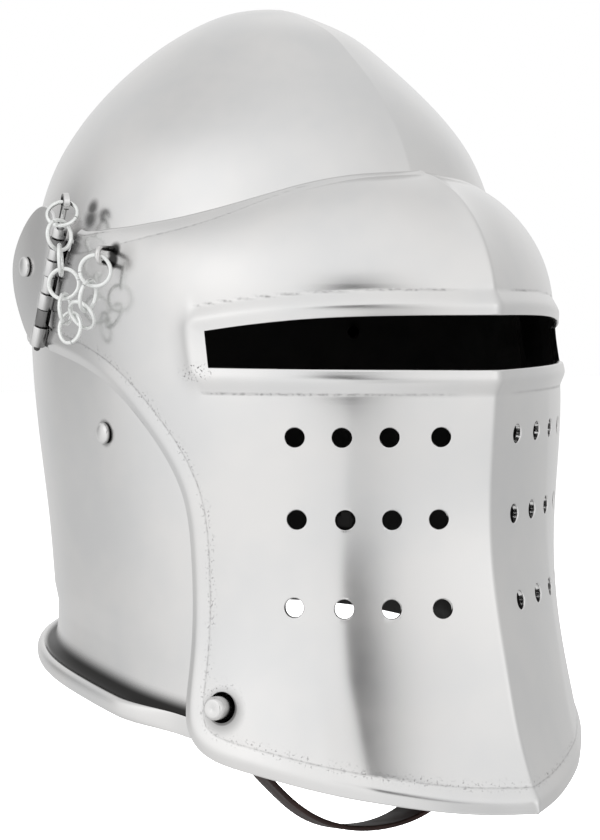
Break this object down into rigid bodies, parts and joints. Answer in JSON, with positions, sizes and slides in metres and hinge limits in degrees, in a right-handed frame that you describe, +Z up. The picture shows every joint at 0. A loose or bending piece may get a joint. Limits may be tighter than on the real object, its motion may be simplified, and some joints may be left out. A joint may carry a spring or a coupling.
{
  "type": "visored bascinet helmet with lifting visor and chin strap",
  "caption": "Steel bascinet helmet with a keeled visor that lifts on side pivots, an eye slot, breath holes, chained hinge pins, a sprung locking peg and a leather chin strap.",
  "frame": {"origin": "where the crown of the wearer's head bears on the padding under the dome, on the middle plane, above the middle of the neck opening", "axes": "+Z up towards the top of the dome, -Y towards the face, -X towards the wearer's right, so that the locking peg is on the -X side"},
  "size_m": [0.2284, 0.2884, 0.3367],
  "materials": {
    "steel": "satin, hand polished, with fine brushing and dark grime in the folds",
    "wire": "bright drawn wire, butted rings",
    "leather": "dark brown, smooth, slightly waxed"
  },
  "bodies": {
    "skull": {"skull": "steel", "pivot_rivet_right": "steel", "pivot_rivet_left": "steel", "side_rivet_right": "steel", "side_rivet_left": "steel", "rear_rivet_right": "steel", "rear_rivet_left": "steel", "chin_strap": "leather"},
    "visor": {"visor_plate": "steel", "pivot_plate_right": "steel", "pivot_plate_left": "steel", "hinge_pin_right": "steel", "hinge_pin_left": "steel", "staple_right": "steel", "staple_left": "steel", "chain_ring_1_right": "wire", "chain_ring_2_right": "wire", "chain_ring_3_right": "wire", "chain_ring_4_right": "wire", "chain_ring_5_right": "wire", "chain_ring_6_right": "wire", "chain_ring_7_right": "wire", "chain_ring_8_right": "wire", "chain_ring_9_right": "wire", "chain_ring_1_left": "wire", "chain_ring_2_left": "wire", "chain_ring_3_left": "wire", "chain_ring_4_left": "wire", "chain_ring_5_left": "wire", "chain_ring_6_left": "wire", "chain_ring_7_left": "wire", "chain_ring_8_left": "wire", "chain_ring_9_left": "wire"},
    "peg": {"locking_peg": "steel"}
  },
  "joints": [
    {"name": "visor_lift", "type": "hinge", "parent": "skull", "child": "visor", "pos_m": [0, 0.0315, -0.0924], "axis": [-1, 0, 0], "range_deg": [0, 75]},
    {"name": "peg_press", "type": "slide", "parent": "skull", "child": "peg", "axis": [0.8761, 0.467, -0.12], "range_m": [0, 0.0095], "stiffness_N_per_m": 1500}
  ]
}
